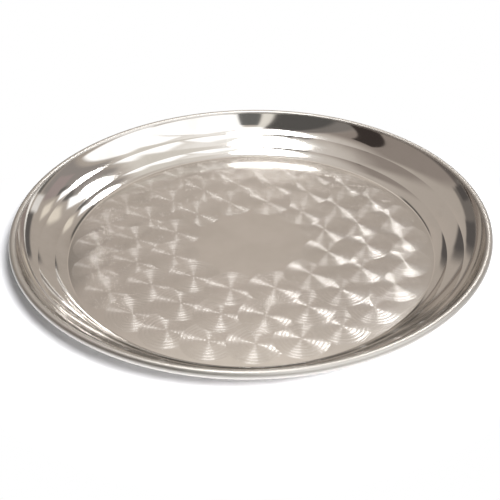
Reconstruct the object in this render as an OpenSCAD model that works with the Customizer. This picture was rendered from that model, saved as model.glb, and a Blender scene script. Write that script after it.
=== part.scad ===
// Round serving tray pressed from one sheet of stainless steel.
// The wall rises from the flat base in three hollow steps with a ridge between them, and the edge is
// curled round a wire ring that stiffens the rim.
// Origin: centre of the underside of the base, +Z up. Sizes in millimetres, angles in degrees.

/* [Tray] */
// Outer diameter over the rim
tray_d = 400; // [320:5:500]
// Overall height, from the underside to the top of the rim
tray_h = 34.3; // [30:0.1:42]
// Thickness of the sheet
sheet_t = 0.7; // [0.5:0.1:1.2]

/* [Low step] */
// Radial width of the step next to the base
low_w = 9.5; // [8:0.1:12]
// Rise of the step next to the base
low_h = 6.1; // [5:0.1:7.5]
// Slope where the low step leaves the base
low_slope = 24; // [10:1:30]
// Radius of the crease between the base and the low step
foot_r = 3; // [1:0.5:5]

/* [Middle step] */
// Radial width of the middle step
mid_w = 12.5; // [11:0.1:14.5]
// Rise of the middle step
mid_h = 8.8; // [8:0.1:11]
// Slope where the middle step leaves the ridge below it
mid_slope = 29; // [15:1:33]

/* [High step] */
// Radial width of the high step, up to the centre line of the rim
high_w = 17.4; // [14:0.1:21]
// Slope where the high step leaves the ridge below it
high_slope = 31; // [20:1:35]

/* [Ridges] */
// Radius on the underside of the ridges between the steps
ridge_in_r = 0.8; // [0.3:0.1:1.5]

/* [Rim] */
// Diameter of the wire inside the rim
wire_d = 4.6; // [3:0.1:6]
// Clearance all round the wire inside the curl
wire_gap = 0.1; // [0.05:0.05:0.2]
// Angle that the sheet wraps round the wire, from the wall on
curl_wrap = 305; // [240:5:310]

/* [Hidden] */
// Turning angle between neighbouring points of a bend
bend_step = 3;
// Facets of a full turn
turn_fn = 180;

// The rim's cross-section: wire, clearance and one thickness of sheet
curl_r = wire_d / 2 + wire_gap + sheet_t;
rim_c = [tray_d / 2 - curl_r, tray_h - curl_r];

// Corners of the wall's upper face, in the plane of the radius and the height
high_foot = [rim_c.x - high_w, sheet_t + low_h + mid_h];
mid_foot = high_foot - [mid_w, mid_h];
low_foot = mid_foot - [low_w, low_h];

// Unit normal of the upper face where it slopes up outwards by t
function normal(t) = [-sin(t), cos(t)];

// Slope at which an arc about c, or one tangent to it, passes through p
function slope_at(c, p) = atan2(p.x - c.x, c.y - p.y);

// Radius of the hollow arc from p to q that leaves p at slope t
function arc_r(p, q, t) = norm(q - p) / (2 * sin(atan2(q.y - p.y, q.x - p.x) - t));

// Radius of the hollow arc that leaves p at slope t and runs smoothly into the curl
function arc_into_curl_r(p, t) =
    let (d = p - rim_c)
    (d * d - curl_r * curl_r) / (2 * (curl_r - d * normal(t)));

// Centre of a ridge that runs smoothly into two hollow arcs, with centres c1 and c2
function ridge_c(c1, r1, c2, r2) =
    let (
        gap = norm(c2 - c1),
        along = (c2 - c1) / gap,
        across = [along.y, -along.x],
        reach1 = r1 + ridge_r,
        reach2 = r2 + ridge_r,
        a = (reach1 * reach1 - reach2 * reach2 + gap * gap) / (2 * gap)
    )
    c1 + a * along + sqrt(reach1 * reach1 - a * a) * across;

ridge_r = ridge_in_r + sheet_t;
low_r = arc_r(low_foot, mid_foot, low_slope);
mid_r = arc_r(mid_foot, high_foot, mid_slope);
high_r = arc_into_curl_r(high_foot, high_slope);
low_c = low_foot + low_r * normal(low_slope);
mid_c = mid_foot + mid_r * normal(mid_slope);
high_c = high_foot + high_r * normal(high_slope);
low_ridge_c = ridge_c(low_c, low_r, mid_c, mid_r);
mid_ridge_c = ridge_c(mid_c, mid_r, high_c, high_r);
curl_start = slope_at(high_c, rim_c);

// The crease at the foot of the wall runs smoothly out of the flat base and into the low step
foot_end = acos((low_c.y - sheet_t - foot_r) / (low_r - foot_r));
foot_c = low_c - (low_r - foot_r) * normal(foot_end);

// Bends of the sheet from the base to the edge: centre, radius of the upper face, first and last
// slope. A hollow bend has its centre above the sheet, and its radius is negative.
BENDS = [
    [foot_c, -foot_r, 0, foot_end],
    [low_c, -low_r, foot_end, slope_at(low_c, low_ridge_c)],
    [low_ridge_c, ridge_r, slope_at(low_c, low_ridge_c), slope_at(mid_c, low_ridge_c)],
    [mid_c, -mid_r, slope_at(mid_c, low_ridge_c), slope_at(mid_c, mid_ridge_c)],
    [mid_ridge_c, ridge_r, slope_at(mid_c, mid_ridge_c), slope_at(high_c, mid_ridge_c)],
    [high_c, -high_r, slope_at(high_c, mid_ridge_c), curl_start],
    [rim_c, curl_r, curl_start, curl_start - curl_wrap],
];

// Points along one bend, on the face that lies depth below the upper face. Each bend leaves its
// last point to the next one.
function bend_points(bend, depth) =
    let (turn = bend[3] - bend[2], count = ceil(abs(turn) / bend_step))
    [for (i = [0 : count - 1]) bend[0] + (bend[1] - depth) * normal(bend[2] + turn * i / count)];

// One face of the wall and the curl, from the base to the sheet's edge
function face_points(depth) =
    let (edge = BENDS[len(BENDS) - 1])
    [
        for (bend = BENDS, p = bend_points(bend, depth)) p,
        edge[0] + (edge[1] - depth) * normal(edge[3]),
    ];

function reversed(points) = [for (i = [len(points) - 1 : -1 : 0]) points[i]];

module pressed_tray() {
    color("gainsboro")
    rotate_extrude($fn = turn_fn)
    polygon(concat(
        [[0, 0], [0, sheet_t]],
        face_points(0),
        reversed(face_points(sheet_t))
    ));
}

module rim_wire() {
    color("darkgray")
    rotate_extrude($fn = turn_fn)
    translate(rim_c)
    circle(d = wire_d, $fn = turn_fn);
}

pressed_tray();
rim_wire();
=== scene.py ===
"""Round serving tray of pressed stainless steel, with its finish, its light and its camera.

The sheet is turned from the same bends as the solid, so that the polished wall, the satin rim and the
swirl-finished base lie on the true shape.
"""

import math
from itertools import accumulate

import bpy
from bpy.props import FloatProperty, FloatVectorProperty, IntProperty, PointerProperty
from mathutils import Matrix, Vector


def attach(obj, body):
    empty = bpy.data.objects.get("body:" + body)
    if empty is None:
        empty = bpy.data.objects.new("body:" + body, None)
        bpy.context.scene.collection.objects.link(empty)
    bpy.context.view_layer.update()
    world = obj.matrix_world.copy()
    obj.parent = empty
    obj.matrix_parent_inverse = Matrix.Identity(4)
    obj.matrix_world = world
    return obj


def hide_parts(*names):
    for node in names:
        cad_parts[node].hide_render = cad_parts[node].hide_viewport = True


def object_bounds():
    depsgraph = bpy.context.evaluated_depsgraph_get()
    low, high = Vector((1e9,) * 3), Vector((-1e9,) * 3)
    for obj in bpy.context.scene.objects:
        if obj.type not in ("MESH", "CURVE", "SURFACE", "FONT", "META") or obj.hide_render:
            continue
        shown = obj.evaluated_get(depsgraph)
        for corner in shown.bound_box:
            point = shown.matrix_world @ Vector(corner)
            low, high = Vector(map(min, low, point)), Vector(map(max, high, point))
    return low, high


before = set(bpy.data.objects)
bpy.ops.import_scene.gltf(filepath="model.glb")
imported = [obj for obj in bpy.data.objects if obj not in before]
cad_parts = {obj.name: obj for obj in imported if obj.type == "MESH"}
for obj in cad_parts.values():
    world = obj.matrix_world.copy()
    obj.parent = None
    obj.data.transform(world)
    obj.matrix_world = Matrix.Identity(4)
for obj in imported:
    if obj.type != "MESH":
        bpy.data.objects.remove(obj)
CAD_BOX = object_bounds()
CAD_SIZE = CAD_BOX[1] - CAD_BOX[0]

bl_info = {
    "name": "Round Steel Tray",
    "version": (1, 0, 0),
    "blender": (4, 5, 0),
    "location": "View3D > Sidebar > Tray",
    "description": "Builds a pressed steel tray with a swirl-finished base, and the studio round it",
    "category": "Add Mesh",
}

# Side of the square picture, in pixels, and the width of the camera's sensor, in millimetres
PICTURE_PX = 500
SENSOR_MM = 36.0

# Fineness of the turned sheet
TURN_SEGMENTS = 240
TURNS = [2 * math.pi * i / TURN_SEGMENTS for i in range(TURN_SEGMENTS)]
BASE_RINGS = 12
BEND_STEP = math.radians(2.5)
CURL_STEP = math.radians(7.5)
LEAST_STEPS = 6

# Finishes of the sheet, by the numbers of their materials
BASE, WALL, UNDERSIDE = range(3)

# The bake's map: the upper face fills the square, and the underside takes one of its corners. Each is a
# disc with a centre and a radius.
UV_NAME = "OFBake"
UV_UPPER = (Vector((0.5, 0.5)), 0.495)
UV_UNDER = (Vector((0.083, 0.083)), 0.078)


def length(name, description, default):
    """A size in metres that a user may change."""
    return FloatProperty(name=name, description=description, default=default, unit="LENGTH", precision=4)


def place(name, description, default):
    """A place in metres that a user may change."""
    return FloatVectorProperty(
        name=name, description=description, default=default, size=3, unit="LENGTH"
    )


def sides(name, description, default):
    """Two lengths in metres that a user may change."""
    return FloatVectorProperty(
        name=name, description=description, default=default, size=2, unit="LENGTH"
    )


def angle(name, description, degrees):
    """An angle that a user may change."""
    default = math.radians(degrees)
    return FloatProperty(
        name=name, description=description, default=default, subtype="ANGLE", unit="ROTATION"
    )


def number(name, description, default):
    """A plain factor that a user may change."""
    return FloatProperty(name=name, description=description, default=default, precision=3)


def count(name, description, default):
    """A number of discs that a user may change."""
    return IntProperty(name=name, description=description, default=default, min=3)


def colour(name, description, default):
    """A colour that a user may change."""
    return FloatVectorProperty(
        name=name, description=description, default=default, size=3, subtype="COLOR", min=0.0, max=4.0
    )


class TrayShape(bpy.types.PropertyGroup):
    """Sizes of the pressed sheet and its wire."""

    diameter: length("Diameter", "Outer diameter over the rim", CAD_SIZE.x)
    height: length("Height", "From the underside to the top of the rim", CAD_SIZE.z)
    sheet: length("Sheet", "Thickness of the sheet", 0.0007)
    low_width: length("Low width", "Radial width of the step next to the base", 0.0095)
    low_rise: length("Low rise", "Rise of the step next to the base", 0.0061)
    low_slope: angle("Low slope", "Slope where the low step leaves the base", 24)
    foot_radius: length("Foot radius", "Crease between the base and the low step", 0.003)
    mid_width: length("Middle width", "Radial width of the middle step", 0.0125)
    mid_rise: length("Middle rise", "Rise of the middle step", 0.0088)
    mid_slope: angle("Middle slope", "Slope where the middle step leaves the ridge below it", 29)
    high_width: length("High width", "Width of the high step, up to the rim's centre line", 0.0174)
    high_slope: angle("High slope", "Slope where the high step leaves the ridge below it", 31)
    ridge_radius: length("Ridge radius", "Radius on the underside of the ridges", 0.0008)
    wire: length("Wire", "Diameter of the wire inside the rim", 0.0046)
    wire_gap: length("Wire gap", "Clearance all round the wire inside the curl", 0.0001)
    curl_wrap: angle("Curl", "Angle that the sheet wraps round the wire", 305)


class SwirlFinish(bpy.types.PropertyGroup):
    """Layout and scratches of the swirl discs on the base."""

    disc_radius: length("Disc radius", "Radius of one swirl disc", 0.022)
    outer_radius: length("Outer ring", "Radius of the ring of outer discs", 0.1327)
    outer_count: count("Outer discs", "Discs in the outer ring", 24)
    outer_turn: angle("Outer turn", "Angle of the first disc of the outer ring", -14.0)
    middle_radius: length("Middle ring", "Radius of the ring of middle discs", 0.1003)
    middle_count: count("Middle discs", "Discs in the middle ring", 18)
    middle_turn: angle("Middle turn", "Angle of the first disc of the middle ring", -3.7)
    inner_radius: length("Inner ring", "Radius of the ring of inner discs", 0.0683)
    inner_count: count("Inner discs", "Discs in the inner ring", 12)
    inner_turn: angle("Inner turn", "Angle of the first disc of the inner ring", -14.0)
    stripe: length("Stripe", "Distance between neighbouring round scratches", 0.0031)
    stray: number("Stray", "How far the scratches stray from even distances, in radians", 5.0)
    contrast: number("Contrast", "How far the stripes tip from one side of a scratch to the other", 0.3)
    satin_radius: length("Satin middle", "Radius of the satin middle of the base", 0.045)
    satin_end: length("Satin end", "Radius at which the satin has faded out", 0.06)


class SteelColours(bpy.types.PropertyGroup):
    """Colours and gloss of the steel."""

    bright: colour("Bright steel", "Polished steel of the tray", (0.78, 0.76, 0.735))
    dull: colour("Dull steel", "Steel where the polish is a little clouded", (0.72, 0.70, 0.67))
    # The rim's steel is darker than the wall's: painted shade, which dims the white floor that the rim
    # mirrors
    rim: colour("Rim steel", "Satin steel of the rolled rim", (0.60, 0.58, 0.55))
    wire: colour("Wire steel", "Drawn steel of the wire in the rim", (0.55, 0.55, 0.55))
    wire_shade: number("Wire shade", "Brightness of the marks on the wire, as a share of its own", 0.8)
    wall_gloss: number("Wall roughness", "Roughness of the polished wall", 0.06)
    wall_marks: number("Wall marks", "Roughness that wiping marks add to the wall", 0.03)
    rim_gloss: number("Rim roughness", "Roughness of the rolled rim", 0.42)
    rim_marks: number("Rim marks", "Range of roughness in the grain of the rim", 0.16)
    base_gloss: number("Swirl roughness", "Roughness of the scratches' flanks", 0.18)
    plain_gloss: number("Plain roughness", "Roughness of the base outside the discs", 0.1)
    plain_marks: number("Plain marks", "Roughness that clouded patches add to the base", 0.04)
    middle_gloss: number("Middle roughness", "Roughness of the satin middle of the base", 0.16)
    under_gloss: number("Underside roughness", "Roughness of the plain underside", 0.3)
    under_marks: number("Underside marks", "Roughness that marks add to the underside", 0.08)
    wire_gloss: number("Wire roughness", "Roughness of the drawn wire", 0.3)
    wire_marks: number("Wire marks", "Roughness that fine marks add to the wire", 0.1)


class StudioSetup(bpy.types.PropertyGroup):
    """Camera, lamps and floor."""

    camera_distance: length("Camera distance", "From the middle of the base to the camera", 0.6882)
    camera_height: angle("Camera elevation", "Elevation of the camera over the base", 34.33)
    camera_pan: angle("Pan", "Turn of the camera about its own upright", 0.059)
    camera_tilt: angle("Tilt", "Turn of the camera about its own side axis", -0.588)
    camera_roll: angle("Roll", "Turn of the camera about its line of sight", 0.880)
    focal_px: number("Focal length", "Focal length in pixels of the picture", 787.8)
    key_place: place("Key lamp", "Place of the key lamp", (0.365, 0.56, 0.775))
    key_sides: sides("Key sides", "Width and length of the key lamp", (0.185, 0.185))
    key_radiance: number("Key radiance", "Brightness of the key lamp's face, where 1 is white", 21.0)
    top_place: place("Top panel", "Place of the panel over the tray", (-0.075, 0.11, 1.0))
    top_sides: sides("Top sides", "Width and length of the panel over the tray", (0.27, 0.36))
    top_radiance: number("Top radiance", "Brightness of the panel over the tray, where 1 is white", 10.5)
    shade_place: place("Shade lamp", "Place of the lamp that casts the shadow", (0.43, -1.05, 1.13))
    shade_sides: sides("Shade sides", "Width and length of the lamp that casts the shadow", (0.36, 0.36))
    shade_radiance: number("Shade radiance", "Brightness of the lamp that casts the shadow", 150.0)
    floor_radius: length("Floor radius", "Radius of the pale floor", 3.0)
    floor_drop: length("Floor drop", "Gap between the underside and the floor", 0.0002)
    floor_colour: colour("Floor", "Colour of the floor", (0.9, 0.9, 0.92))
    floor_glow: number("Floor glow", "Share of white that the floor shows of itself by the tray", 0.03)
    glow_start: length("Glow start", "Radius at which the floor's own white starts to grow", 0.21)
    glow_end: length("Glow end", "Radius at which the floor is all white of itself", 0.27)
    fill: number("Fill", "Even light of the surround on the floor", 0.14)


class Socket:
    """One output of a node. Arithmetic on it adds Math nodes to its tree."""

    def __init__(self, tree, output):
        self.tree = tree
        self.output = output

    def __add__(self, other):
        return self.tree.math("ADD", self, other)

    def __radd__(self, other):
        return self.tree.math("ADD", other, self)

    def __sub__(self, other):
        return self.tree.math("SUBTRACT", self, other)

    def __rsub__(self, other):
        return self.tree.math("SUBTRACT", other, self)

    def __mul__(self, other):
        return self.tree.math("MULTIPLY", self, other)

    def __rmul__(self, other):
        return self.tree.math("MULTIPLY", other, self)

    def __truediv__(self, other):
        return self.tree.math("DIVIDE", self, other)

    def __mod__(self, other):
        return self.tree.math("FLOORED_MODULO", self, other)

    def __floor__(self):
        return self.tree.math("FLOOR", self)

    def __lt__(self, other):
        return self.tree.math("LESS_THAN", self, other)


class Tree:
    """A node tree that is built from expressions."""

    def __init__(self, node_tree):
        self.node_tree = node_tree
        node_tree.nodes.clear()

    def add(self, kind, settings=None, inputs=None, output=0):
        """Adds a node of that kind, makes its settings, fills its sockets and returns one output."""
        node = self.node_tree.nodes.new(kind)
        for name, value in (settings or {}).items():
            if name == "stops":
                self.set_stops(node.color_ramp, value)
            else:
                setattr(node, name, value)
        for name, value in (inputs or {}).items():
            if isinstance(value, Socket):
                self.node_tree.links.new(value.output, node.inputs[name])
            else:
                node.inputs[name].default_value = value
        return Socket(self, node.outputs[output]) if node.outputs else None

    @staticmethod
    def set_stops(ramp, stops):
        """Gives a ramp its stops, from pairs of a position and a colour."""
        while len(ramp.elements) < len(stops):
            ramp.elements.new(1.0)
        for element, (position, value) in zip(ramp.elements, stops):
            element.position = position
            element.color = (*value, 1.0)

    def math(self, operation, *values):
        return self.add("ShaderNodeMath", {"operation": operation}, dict(enumerate(values)))

    def vector(self, operation, *values, output=0):
        inputs = dict(enumerate(values))
        return self.add("ShaderNodeVectorMath", {"operation": operation}, inputs, output)

    def length(self, vector):
        return self.vector("LENGTH", vector, output="Value")

    def join(self, x, y, z):
        return self.add("ShaderNodeCombineXYZ", None, {"X": x, "Y": y, "Z": z})

    def split(self, vector):
        return [self.add("ShaderNodeSeparateXYZ", None, {"Vector": vector}, part) for part in "XYZ"]

    def mix_vectors(self, factor, first, second):
        settings = {"data_type": "VECTOR", "clamp_factor": True}
        return self.add("ShaderNodeMix", settings, {0: factor, 4: first, 5: second}, 1)

    def mix_colours(self, factor, first, second):
        settings = {"data_type": "RGBA", "clamp_factor": True}
        return self.add("ShaderNodeMix", settings, {0: factor, 6: opaque(first), 7: opaque(second)}, 2)

    def step(self, value, start, end):
        """A soft step from 0 at start to 1 at end."""
        settings = {"interpolation_type": "SMOOTHSTEP"}
        inputs = {"Value": value, "From Min": start, "From Max": end}
        return self.add("ShaderNodeMapRange", settings, inputs)

    def noise(self, inputs, dimensions="3D"):
        return self.add("ShaderNodeTexNoise", {"noise_dimensions": dimensions}, inputs)

    def point(self):
        """A point's place on the piece, in metres."""
        return self.add("ShaderNodeTexCoord", output="Object")

    def clouds(self, scale, detail, roughness, start, end):
        """Mask of soft patches, which start at one level of a noise and are full at another."""
        inputs = {"Vector": self.point(), "Scale": scale, "Detail": detail, "Roughness": roughness}
        return self.step(self.noise(inputs), start, end)

    def grain(self, scale, detail):
        """Fine grain, from 0 to 1."""
        return self.noise({"Vector": self.point(), "Scale": scale, "Detail": detail})

    def ray(self, kind):
        """1 for light rays of that kind, and 0 for others."""
        return self.add("ShaderNodeLightPath", output=kind)

    def mirrored(self):
        """1 for rays that come from a mirror or through glass, and 0 for others."""
        return self.math("MAXIMUM", self.ray("Is Glossy Ray"), self.ray("Is Transmission Ray"))

    def steel(self, inputs):
        """A shader of bare metal."""
        return self.add("ShaderNodeBsdfPrincipled", None, {"Metallic": 1.0, **inputs})

    def mix_shaders(self, factor, first, second):
        return self.add("ShaderNodeMixShader", None, {0: factor, 1: first, 2: second})

    def finish(self, shader):
        """Ends a material with its shader."""
        self.add("ShaderNodeOutputMaterial", None, {"Surface": shader})


def opaque(value):
    """A plain colour with its alpha; a socket stays as it is."""
    return value if isinstance(value, Socket) else (*value, 1.0)


def new_material(name):
    """An empty node material, and its tree."""
    material = bpy.data.materials.new(name)
    material.use_nodes = True
    return material, Tree(material.node_tree)


# Shape of the sheet, in the plane of the radius and the height


def sheet_normal(slope):
    """Unit normal of the upper face where it slopes up outwards."""
    return Vector((-math.sin(slope), math.cos(slope)))


def slope_at(centre, point):
    """Slope at which an arc about a centre, or one tangent to it, passes through a point."""
    return math.atan2(point.x - centre.x, centre.y - point.y)


def hollow_radius(start, end, slope):
    """Radius of the hollow arc between two points that leaves the first at a slope."""
    chord = end - start
    return chord.length / (2 * math.sin(math.atan2(chord.y, chord.x) - slope))


def radius_into_curl(start, slope, curl_centre, curl_radius):
    """Radius of the hollow arc that leaves a point at a slope and runs smoothly into the curl."""
    away = start - curl_centre
    return (away.dot(away) - curl_radius**2) / (2 * (curl_radius - away.dot(sheet_normal(slope))))


def ridge_centre(first, first_radius, second, second_radius, ridge_radius):
    """Centre of a ridge that runs smoothly into the hollow arcs on its two sides."""
    gap = (second - first).length
    along = (second - first) / gap
    across = Vector((along.y, -along.x))
    first_reach = first_radius + ridge_radius
    second_reach = second_radius + ridge_radius
    way_along = (first_reach**2 - second_reach**2 + gap**2) / (2 * gap)
    way_across = math.sqrt(first_reach**2 - way_along**2)
    return first + way_along * along + way_across * across


def sheet_bends(shape):
    """The bends from the base to the edge: centre, radius of the upper face, first and last slope.

    A hollow bend has its centre above the sheet, and its radius is negative.
    """
    curl_radius = shape.wire / 2 + shape.wire_gap + shape.sheet
    rim = Vector((shape.diameter / 2 - curl_radius, shape.height - curl_radius))
    high_foot = Vector((rim.x - shape.high_width, shape.sheet + shape.low_rise + shape.mid_rise))
    mid_foot = high_foot - Vector((shape.mid_width, shape.mid_rise))
    low_foot = mid_foot - Vector((shape.low_width, shape.low_rise))
    ridge_radius = shape.ridge_radius + shape.sheet

    low_radius = hollow_radius(low_foot, mid_foot, shape.low_slope)
    mid_radius = hollow_radius(mid_foot, high_foot, shape.mid_slope)
    high_radius = radius_into_curl(high_foot, shape.high_slope, rim, curl_radius)
    low = low_foot + low_radius * sheet_normal(shape.low_slope)
    mid = mid_foot + mid_radius * sheet_normal(shape.mid_slope)
    high = high_foot + high_radius * sheet_normal(shape.high_slope)
    low_ridge = ridge_centre(low, low_radius, mid, mid_radius, ridge_radius)
    mid_ridge = ridge_centre(mid, mid_radius, high, high_radius, ridge_radius)

    foot_radius = shape.foot_radius
    foot_end = math.acos((low.y - shape.sheet - foot_radius) / (low_radius - foot_radius))
    foot = low - (low_radius - foot_radius) * sheet_normal(foot_end)
    curl_start = slope_at(high, rim)
    return [
        (foot, -foot_radius, 0.0, foot_end),
        (low, -low_radius, foot_end, slope_at(low, low_ridge)),
        (low_ridge, ridge_radius, slope_at(low, low_ridge), slope_at(mid, low_ridge)),
        (mid, -mid_radius, slope_at(mid, low_ridge), slope_at(mid, mid_ridge)),
        (mid_ridge, ridge_radius, slope_at(mid, mid_ridge), slope_at(high, mid_ridge)),
        (high, -high_radius, slope_at(high, mid_ridge), curl_start),
        (rim, curl_radius, curl_start, curl_start - shape.curl_wrap),
    ]


def bend_points(bend, depth, side, step):
    """Points and normals along one bend, on the face that lies some depth below the upper one."""
    centre, radius, first, last = bend
    steps = max(LEAST_STEPS, math.ceil(abs(last - first) / step))
    for i in range(steps + 1):
        slope = first + (last - first) * i / steps
        yield centre + (radius - depth) * sheet_normal(slope), side * sheet_normal(slope)


def face_points(bends, depth, side):
    """Points and normals of one face of the wall and the curl, from the base to the sheet's edge."""
    points = []
    for bend in bends:
        step = CURL_STEP if bend is bends[-1] else BEND_STEP
        points += list(bend_points(bend, depth, side, step))[1 if points else 0 :]
    return points


def sheet_section(shape):
    """The sheet's outline from the middle of its upper face, round its edge, to that of its underside.

    Returns the points with their normals, and the material of each stretch between two points.
    """
    bends = sheet_bends(shape)
    upper = face_points(bends, 0.0, 1)
    under = face_points(bends, shape.sheet, -1)[::-1]
    rim, curl_radius, _, end_slope = bends[-1]
    lip_centre = rim + (curl_radius - shape.sheet / 2) * sheet_normal(end_slope)
    lip = (lip_centre, shape.sheet / 2, end_slope, end_slope - math.pi)
    edge = list(bend_points(lip, 0.0, 1, math.pi / LEAST_STEPS))[1:-1]
    up = Vector((0.0, 1.0))
    foot = upper[0][0].x
    base = [(Vector((foot * i / BASE_RINGS, shape.sheet)), up) for i in range(BASE_RINGS)]
    bottom = [(Vector((foot * i / BASE_RINGS, 0.0)), -up) for i in range(BASE_RINGS)][::-1]
    rows = base + upper + edge + under + bottom
    materials = [BASE] * len(base) + [WALL] * (len(upper) + len(edge))
    materials += [UNDERSIDE] * (len(under) + len(bottom) - 1)
    return rows, materials


def circle(radius, height):
    """Points of a circle about the axis, one for each segment of the turned sheet."""
    return [(radius * math.cos(t), radius * math.sin(t), height) for t in TURNS]


def turn_section(name, rows, materials):
    """Turns an outline from axis to axis into a closed mesh that has the outline's own normals."""
    inner = rows[1:-1]
    vertices = [(0.0, 0.0, rows[0][0].y)]
    normals = [(0.0, 0.0, 1.0)]
    for point, normal in inner:
        vertices += circle(point.x, point.y)
        normals += circle(normal.x, normal.y)
    vertices.append((0.0, 0.0, rows[-1][0].y))
    normals.append((0.0, 0.0, -1.0))
    last_vertex = len(vertices) - 1
    last_row = len(inner) - 1

    def ring(row, i):
        return 1 + row * TURN_SEGMENTS + i % TURN_SEGMENTS

    faces = [(0, ring(0, i), ring(0, i + 1)) for i in range(TURN_SEGMENTS)]
    for row in range(last_row):
        for i in range(TURN_SEGMENTS):
            faces.append((ring(row, i), ring(row + 1, i), ring(row + 1, i + 1), ring(row, i + 1)))
    faces += [(ring(last_row, i), last_vertex, ring(last_row, i + 1)) for i in range(TURN_SEGMENTS)]

    mesh = bpy.data.meshes.new(name)
    mesh.from_pydata(vertices, [], faces)
    mesh.polygons.foreach_set("material_index", [m for m in materials for _ in range(TURN_SEGMENTS)])
    mesh.polygons.foreach_set("use_smooth", [True] * len(faces))
    lay_out(mesh, rows, materials)
    mesh.update()
    mesh.normals_split_custom_set_from_vertices(normals)
    return mesh


def lay_out(mesh, rows, materials):
    """Lays the turned faces out as two discs on the bake's map, by their distance along the outline."""
    stretches = [(end[0] - start[0]).length for start, end in zip(rows, rows[1:])]
    along = list(accumulate(stretches, initial=0.0))
    edge = along[materials.index(UNDERSIDE)]
    layer = mesh.uv_layers.new(name=UV_NAME)
    for polygon in mesh.polygons:
        material = materials[polygon.index // TURN_SEGMENTS]
        for loop in polygon.loop_indices:
            ring, segment = divmod(mesh.loops[loop].vertex_index - 1, TURN_SEGMENTS)
            reach = along[ring + 1]
            outward = Vector((math.cos(TURNS[segment]), math.sin(TURNS[segment])))
            if material == UNDERSIDE:
                centre, radius = UV_UNDER
                share = (along[-1] - reach) / (along[-1] - edge)
            else:
                centre, radius = UV_UPPER
                share = reach / edge
            layer.uv[loop].vector = centre + radius * share * outward


# Finishes of the steel

# Slopes of the round scratches' flanks, and the share of the steel that has each of them on each side
FLANKS = ((0.10, 0.085), (0.20, 0.06), (0.31, 0.032), (0.43, 0.02), (0.56, 0.013))

# Share of scratched steel from the middle of a swirl disc to its edge, by shares of the disc's radius
DISC_WEAR = [
    (reach, (share,) * 3)
    for reach, share in (
        (0.0, 0.5), (0.09, 0.7), (0.13, 1.0), (0.18, 0.65), (0.25, 0.6), (0.31, 0.8), (0.37, 0.65),
        (0.45, 0.75), (0.52, 1.0), (0.72, 1.0), (0.78, 0.85), (0.84, 0.95), (0.92, 0.85), (1.0, 0.9),
    )
]

# What sets the scratches of one disc apart from those of the next
DISC_SEED = 17.31

# Clouded patches: scale, detail and roughness of the noise, and its levels where a patch starts and
# where it is full
BASE_CLOUDS = (22.0, 4.0, 0.55, 0.35, 0.7)
WALL_CLOUDS = (30.0, 5.0, 0.6, 0.4, 0.75)
UNDER_CLOUDS = (45.0, 5.0, 0.6, 0.35, 0.75)

# Fine grain: scale and detail of the noise
RIM_GRAIN = (260.0, 3.0)
WIRE_GRAIN = (220.0, 3.0)


def chosen_disc(tree, x, y, swirl):
    """The way to a point from the middle of the uppermost swirl disc there, with the disc's own number.

    Discs lie over the ring outside them, and in a ring each lies over the one before it. Also returns a
    mask of all discs.
    """
    rings = (
        (swirl.outer_radius, swirl.outer_count, swirl.outer_turn),
        (swirl.middle_radius, swirl.middle_count, swirl.middle_turn),
        (swirl.inner_radius, swirl.inner_count, swirl.inner_turn),
    )
    bearing = tree.math("ARCTAN2", y, x)
    chosen = tree.join(0.0, 0.0, 0.0)
    covered = 0.0
    first_number = 1
    for radius, discs, turn in rings:
        pitch = 2 * math.pi / discs
        before = math.floor((bearing - turn) / pitch)
        for disc in (before, before + 1.0):
            at = disc * pitch + turn
            across = x - radius * tree.math("COSINE", at)
            along = y - radius * tree.math("SINE", at)
            disc_number = disc % discs + first_number
            inside = tree.length(tree.join(across, along, 0.0)) < swirl.disc_radius
            chosen = tree.mix_vectors(inside, chosen, tree.join(across, along, disc_number))
            covered = tree.math("MAXIMUM", covered, inside)
        first_number += discs
    return chosen, covered


def swirled_base(swirl, steel):
    """Base with three rings of overlapping discs of round scratches, and a satin middle."""
    material, tree = new_material("swirled_base")
    x, y, _ = tree.split(tree.point())
    chosen, covered = chosen_disc(tree, x, y, swirl)
    across, along, disc_number = tree.split(chosen)
    offset = tree.join(across, along, 0.0)
    reach = tree.length(offset)
    outward = tree.vector("NORMALIZE", offset)

    seed = disc_number * DISC_SEED
    stray = tree.noise({"W": reach / swirl.stripe + seed, "Scale": 1.0, "Detail": 1.0}, "1D")
    turn = reach * (2 * math.pi / swirl.stripe) + swirl.stray * stray + seed
    outer_side = 0.5 + swirl.contrast * tree.math("SINE", turn)
    wear = tree.add("ShaderNodeValToRGB", {"stops": DISC_WEAR}, {"Fac": reach / swirl.disc_radius})
    worn = wear * covered

    clouds = tree.clouds(*BASE_CLOUDS)
    tint = tree.mix_colours(clouds, steel.bright, steel.dull)
    middle = 1.0 - tree.step(tree.length(tree.join(x, y, 0.0)), swirl.satin_radius, swirl.satin_end)
    satin = middle * (steel.middle_gloss - steel.plain_gloss)
    gloss = steel.plain_gloss + satin + clouds * steel.plain_marks
    shader = tree.steel({"Base Color": tint, "Roughness": gloss})
    flat = tree.add("ShaderNodeNewGeometry", output="Normal")
    for slope, share in FLANKS:
        for side, part in ((slope, outer_side), (-slope, 1.0 - outer_side)):
            tilt = tree.vector("MULTIPLY", outward, (side, side, 0.0))
            normal = tree.vector("NORMALIZE", tree.vector("ADD", flat, tilt))
            flank = tree.steel({"Base Color": tint, "Roughness": steel.base_gloss, "Normal": normal})
            # The two parts average one half, so each side gets the flank's share on average
            shader = tree.mix_shaders(worn * part * (2.0 * share), shader, flank)
    tree.finish(shader)
    return material


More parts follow.
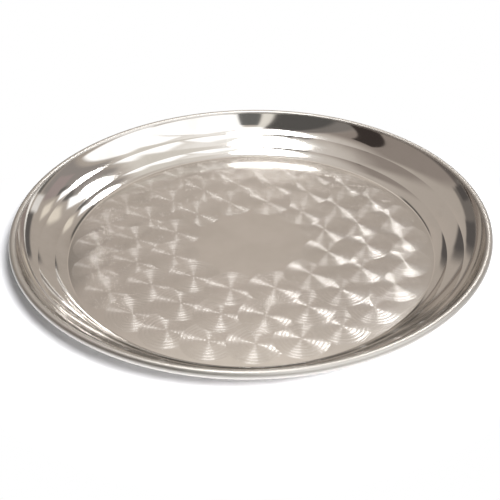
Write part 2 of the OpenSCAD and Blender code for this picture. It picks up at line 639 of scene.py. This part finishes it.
def polished_wall(steel, shape):
    """Polished steel of the wall with faint wiping marks, and the satin steel of the rolled rim, made
    darker as painted shade.
    """
    material, tree = new_material("polished_wall")
    marks = tree.clouds(*WALL_CLOUDS)
    rim, curl_radius, curl_start, _ = sheet_bends(shape)[-1]
    rim_foot = rim.x + curl_radius * sheet_normal(curl_start).x
    x, y, _ = tree.split(tree.point())
    reach = tree.length(tree.join(x, y, 0.0))
    rolled = tree.step(reach, rim_foot - shape.sheet, rim_foot + shape.sheet)
    grain = tree.grain(*RIM_GRAIN)
    satin = steel.rim_gloss - steel.wall_gloss + steel.rim_marks * (grain - 0.5)
    polished = tree.mix_colours(marks, steel.bright, steel.dull)
    # The rolled rim takes the darker rim steel, which is painted shade on what it mirrors, and a satin
    # roughness
    shader = tree.steel(
        {
            "Base Color": tree.mix_colours(rolled, polished, steel.rim),
            "Roughness": steel.wall_gloss + marks * steel.wall_marks + rolled * satin,
        }
    )
    tree.finish(shader)
    return material


def plain_underside(steel):
    """Plain rolled steel of the underside."""
    material, tree = new_material("plain_underside")
    marks = tree.clouds(*UNDER_CLOUDS)
    shader = tree.steel(
        {
            "Base Color": tree.mix_colours(marks, steel.bright, steel.dull),
            "Roughness": steel.under_gloss + marks * steel.under_marks,
        }
    )
    tree.finish(shader)
    return material


def drawn_wire(steel):
    """Drawn steel wire with fine marks."""
    material, tree = new_material("drawn_wire")
    marks = tree.grain(*WIRE_GRAIN)
    shaded = [steel.wire_shade * part for part in steel.wire]
    shader = tree.steel(
        {
            "Base Color": tree.mix_colours(marks, steel.wire, shaded),
            "Roughness": steel.wire_gloss + marks * steel.wire_marks,
        }
    )
    tree.finish(shader)
    return material


# The studio

WHITE = Vector((1.0, 1.0, 1.0))
PANEL_WHITE = (1.45, 1.45, 1.45)

# The room that the steel mirrors: its beige, how late that fades to white overhead, and the room's
# brightness by shares of the way from the horizon to straight above
ROOM_BEIGE = Vector((1.13, 1.0, 0.88))
ROOM_FADE = 4
ROOM_LEVELS = ((0.0, 0.42), (0.5, 0.45), (0.67, 0.53), (0.78, 0.64), (0.89, 0.85), (1.0, 1.0))

# Panels and flags in that room, each over those before it: two bearings, two elevations, lean of the
# sides, softness of the edges, and colour. Angles are in degrees. Bearings run from 0 at the camera's
# side over 90 on the right, or -90 on the left, to 180 or -180 at the back.
ROOM_PARTS = (
    # Pale ceiling on the camera's side
    ((-95, 75), (72, 95), 0.0, 8.0, (1.02, 1.0, 0.96)),
    # Back of the room, with a lighter middle and a pale band over it
    ((-190, -150), (26, 60), 0.0, 12.0, (0.53, 0.465, 0.41)),
    ((150, 190), (26, 60), 0.0, 12.0, (0.46, 0.405, 0.355)),
    ((-190, -174), (24, 50), 0.0, 10.0, (0.58, 0.51, 0.45)),
    ((174, 190), (24, 50), 0.0, 10.0, (0.58, 0.51, 0.45)),
    ((-190, -158), (42, 60), 0.0, 5.0, (0.88, 0.80, 0.72)),
    ((158, 190), (42, 60), 0.0, 5.0, (0.88, 0.80, 0.72)),
    # Pale and white panels on the right
    ((60, 116), (56, 84), 0.0, 12.0, (0.85, 0.80, 0.74)),
    ((60, 95), (70, 84), 0.0, 10.0, (1.05, 1.02, 0.98)),
    ((5, 60), (21, 77), 0.0, 4.0, PANEL_WHITE),
    ((52, 95), (16, 68), 0.25, 4.0, PANEL_WHITE),
    ((94, 130), (59, 80), 0.0, 6.0, (0.80, 0.76, 0.70)),
    # Flags and small panels between the right and the back
    ((98, 126), (8, 54), 0.3, 5.0, (0.33, 0.30, 0.28)),
    ((156, 162), (33, 47), -1.0, 3.0, (0.13, 0.12, 0.11)),
    ((113, 132), (17, 33), 0.0, 3.0, (0.40, 0.335, 0.32)),
    ((127, 134), (32, 37.5), 0.0, 2.0, (0.17, 0.16, 0.15)),
    ((133, 142), (36, 45), 0.0, 2.0, PANEL_WHITE),
    ((137, 146), (23, 32), 0.0, 4.0, (0.90, 0.82, 0.71)),
    ((128, 139), (4, 15), 0.0, 3.0, (0.9, 0.87, 0.84)),
    ((100, 128), (-2, 6), 0.0, 3.0, (0.16, 0.15, 0.14)),
    ((139, 161), (-2, 11), 0.0, 4.0, (0.13, 0.12, 0.115)),
    # Dark flags at the back
    ((-167, -158), (33, 47), 1.0, 3.0, (0.13, 0.12, 0.11)),
    ((-181, -173), (3, 21), 0.0, 3.0, (0.11, 0.10, 0.09)),
    ((179, 190), (4, 22), 0.0, 2.0, (0.11, 0.10, 0.09)),
    # Dark side of the room on the left
    ((-126, -58), (4, 60), 0.0, 14.0, (0.32, 0.275, 0.245)),
    ((-128, -62), (-3, 9), 0.0, 5.0, (0.15, 0.13, 0.12)),
    ((-60, -12), (10, 70), 0.0, 6.0, (0.24, 0.22, 0.205)),
    ((-47, -15), (14, 72), 0.0, 5.0, (0.11, 0.105, 0.10)),
    # Pale strip, dark flag and white panel on the camera's side
    ((-14, -7), (10, 74), 0.0, 3.0, (0.95, 0.92, 0.85)),
    ((-7, 6), (14, 60), 0.0, 2.0, (0.17, 0.17, 0.165)),
    ((-14, 8), (67, 80), 0.0, 4.0, PANEL_WHITE),
    # Black flag on the left, and low dark flags between the left and the back
    ((-71, -52), (14, 54), -0.59, 2.0, (0.05, 0.04, 0.036)),
    ((-190, -123), (-3, 6), 0.0, 3.0, (0.20, 0.18, 0.165)),
    ((-163, -127), (-1, 18), 0.0, 4.0, (0.19, 0.17, 0.155)),
    ((-160, -148), (4, 19), 0.0, 3.0, (0.11, 0.10, 0.095)),
    ((-136, -126), (2, 13), 0.0, 3.0, (0.10, 0.09, 0.085)),
)


def room_part(tree, bearing, rise, bearings, heights, lean, soft):
    """Mask of a part of the room between two bearings and two elevations, in degrees.

    Its sides stand at the bearings at its foot, and lean by some degrees for each degree of elevation.
    """

    def past(value, limit):
        return tree.step(value, limit - soft / 2, limit + soft / 2)

    upright = bearing - (rise - heights[0]) * lean
    between = past(upright, bearings[0]) * (1.0 - past(upright, bearings[1]))
    return between * past(rise, heights[0]) * (1.0 - past(rise, heights[1]))


def room_colour(tree):
    """What the steel mirrors: a beige room with white panels and dark flags."""
    x, y, z = tree.split(tree.add("ShaderNodeTexCoord", output="Generated"))
    bearing = tree.math("ARCTAN2", x, 0.0 - y) * math.degrees(1)
    rise = tree.math("ARCSINE", z) * math.degrees(1)
    stops = [(high, level * ROOM_BEIGE.lerp(WHITE, high**ROOM_FADE)) for high, level in ROOM_LEVELS]
    shown = tree.add("ShaderNodeValToRGB", {"stops": stops}, {"Fac": rise / 90.0})
    for bearings, heights, lean, soft, value in ROOM_PARTS:
        mask = room_part(tree, bearing, rise, bearings, heights, lean, soft)
        shown = tree.mix_colours(mask, shown, value)
    return shown


def build_surround(studio):
    """White to the camera, the mirrored room to the steel, and even light to the floor."""
    world = bpy.data.worlds.new("studio_surround")
    world.use_nodes = True
    bpy.context.scene.world = world
    tree = Tree(world.node_tree)
    lit = tree.mix_colours(tree.mirrored(), (studio.fill,) * 3, room_colour(tree))
    shown = tree.mix_colours(tree.ray("Is Camera Ray"), lit, WHITE)
    light = tree.add("ShaderNodeBackground", None, {"Color": shown, "Strength": 1.0})
    tree.add("ShaderNodeOutputWorld", None, {"Surface": light})


def build_floor(studio):
    """A round pale floor that shows white where it is lit, and keeps the tray's shadow."""
    mesh = bpy.data.meshes.new("studio_floor")
    mesh.from_pydata(circle(studio.floor_radius, 0.0), [], [range(TURN_SEGMENTS)])
    floor = bpy.data.objects.new("studio_floor", mesh)
    bpy.context.scene.collection.objects.link(floor)
    floor.location.z = -studio.floor_drop
    material, tree = new_material("pale_floor")
    shown = tree.math("MAXIMUM", tree.ray("Is Camera Ray"), tree.mirrored())
    lit = tree.add("ShaderNodeBsdfDiffuse", None, {"Color": opaque(studio.floor_colour)})
    glow = tree.add("ShaderNodeEmission", None, {"Color": opaque(WHITE), "Strength": 1.0})
    away = tree.step(tree.length(tree.point()), studio.glow_start, studio.glow_end)
    share = studio.floor_glow + away * (1.0 - studio.floor_glow)
    tree.finish(tree.mix_shaders(shown * share, lit, glow))
    mesh.materials.append(material)


def add_lamp(name, spot, face, radiance, way):
    """A lamp with a flat oval face of that width, length and brightness, which looks some way."""
    lamp = bpy.data.lights.new(name, "AREA")
    lamp.shape = "ELLIPSE"
    lamp.size, lamp.size_y = face
    area = math.pi / 4 * face[0] * face[1]
    lamp.energy = radiance * math.pi * area
    holder = bpy.data.objects.new(name, lamp)
    bpy.context.scene.collection.objects.link(holder)
    holder.location = spot
    holder.rotation_euler = way.to_track_quat("-Z", "Y").to_euler()
    return holder


def add_camera(studio, base_height):
    """The camera, given by its place over the base and three small turns of its own axes."""
    away = Vector((0.0, -math.cos(studio.camera_height), math.sin(studio.camera_height)))
    forward, right = -away, Vector((1.0, 0.0, 0.0))
    up = right.cross(forward)
    pan = Matrix.Rotation(studio.camera_pan, 3, up)
    forward, right = pan @ forward, pan @ right
    tilt = Matrix.Rotation(studio.camera_tilt, 3, right)
    forward, up = tilt @ forward, tilt @ up
    roll = Matrix.Rotation(studio.camera_roll, 3, forward)
    right, up = roll @ right, roll @ up
    data = bpy.data.cameras.new("camera")
    data.sensor_width = SENSOR_MM
    data.lens = studio.focal_px / PICTURE_PX * SENSOR_MM
    camera = bpy.data.objects.new("camera", data)
    bpy.context.scene.collection.objects.link(camera)
    axes = Matrix((right, up, -forward)).transposed().to_4x4()
    spot = studio.camera_distance * away + Vector((0.0, 0.0, base_height))
    camera.matrix_world = Matrix.Translation(spot) @ axes
    bpy.context.scene.camera = camera


class TRAY_OT_stage(bpy.types.Operator):
    """Set up the camera, the surround, the floor and the lamps."""

    bl_idname = "tray.stage"
    bl_label = "Stage"

    def execute(self, context):
        studio = context.scene.tray_studio
        context.scene.view_settings.view_transform = "Standard"
        add_camera(studio, context.scene.tray_shape.sheet)
        build_surround(studio)
        build_floor(studio)
        way = -Vector(studio.key_place)
        key = add_lamp("key_lamp", studio.key_place, studio.key_sides, studio.key_radiance, way)
        way = Vector((0.0, 0.0, -1.0))
        top = add_lamp("top_panel", studio.top_place, studio.top_sides, studio.top_radiance, way)
        way = -Vector(studio.shade_place)
        shade = add_lamp("shade_lamp", studio.shade_place, studio.shade_sides, studio.shade_radiance, way)
        key.visible_diffuse = False
        top.visible_diffuse = False
        shade.visible_glossy = False
        return {"FINISHED"}


class TRAY_OT_sheet(bpy.types.Operator):
    """Turn the pressed sheet and give it its finishes."""

    bl_idname = "tray.sheet"
    bl_label = "Pressed sheet"

    def execute(self, context):
        scene = context.scene
        rows, materials = sheet_section(scene.tray_shape)
        mesh = turn_section("tray_sheet", rows, materials)
        mesh.materials.append(swirled_base(scene.tray_swirl, scene.tray_steel))
        mesh.materials.append(polished_wall(scene.tray_steel, scene.tray_shape))
        mesh.materials.append(plain_underside(scene.tray_steel))
        sheet = bpy.data.objects.new("tray_sheet", mesh)
        scene.collection.objects.link(sheet)
        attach(sheet, "root")
        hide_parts("pressed_tray")
        return {"FINISHED"}


class TRAY_OT_wire(bpy.types.Operator):
    """Give the wire in the rim its finish."""

    bl_idname = "tray.wire"
    bl_label = "Rim wire"

    def execute(self, context):
        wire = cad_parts["rim_wire"]
        wire.data.materials.clear()
        wire.data.materials.append(drawn_wire(context.scene.tray_steel))
        return {"FINISHED"}


class TRAY_PT_panel(bpy.types.Panel):
    """Sizes, finishes and buttons of the tray."""

    bl_idname = "TRAY_PT_panel"
    bl_label = "Round steel tray"
    bl_space_type = "VIEW_3D"
    bl_region_type = "UI"
    bl_category = "Tray"

    def draw(self, context):
        for group, settings in GROUPS.items():
            box = self.layout.box()
            box.label(text=group.__doc__)
            for name in group.__annotations__:
                box.prop(getattr(context.scene, settings), name)
        for operator in OPERATORS:
            self.layout.operator(operator.bl_idname)


GROUPS = {
    TrayShape: "tray_shape",
    SwirlFinish: "tray_swirl",
    SteelColours: "tray_steel",
    StudioSetup: "tray_studio",
}
OPERATORS = (TRAY_OT_stage, TRAY_OT_sheet, TRAY_OT_wire)


def register():
    for group, settings in GROUPS.items():
        bpy.utils.register_class(group)
        setattr(bpy.types.Scene, settings, PointerProperty(type=group))
    for operator in OPERATORS:
        bpy.utils.register_class(operator)
    bpy.utils.register_class(TRAY_PT_panel)


def unregister():
    bpy.utils.unregister_class(TRAY_PT_panel)
    for operator in reversed(OPERATORS):
        bpy.utils.unregister_class(operator)
    for group, settings in GROUPS.items():
        delattr(bpy.types.Scene, settings)
        bpy.utils.unregister_class(group)


def main():
    register()
    bpy.ops.tray.stage()
    bpy.ops.tray.sheet()
    bpy.ops.tray.wire()


if __name__ == "__main__":
    main()
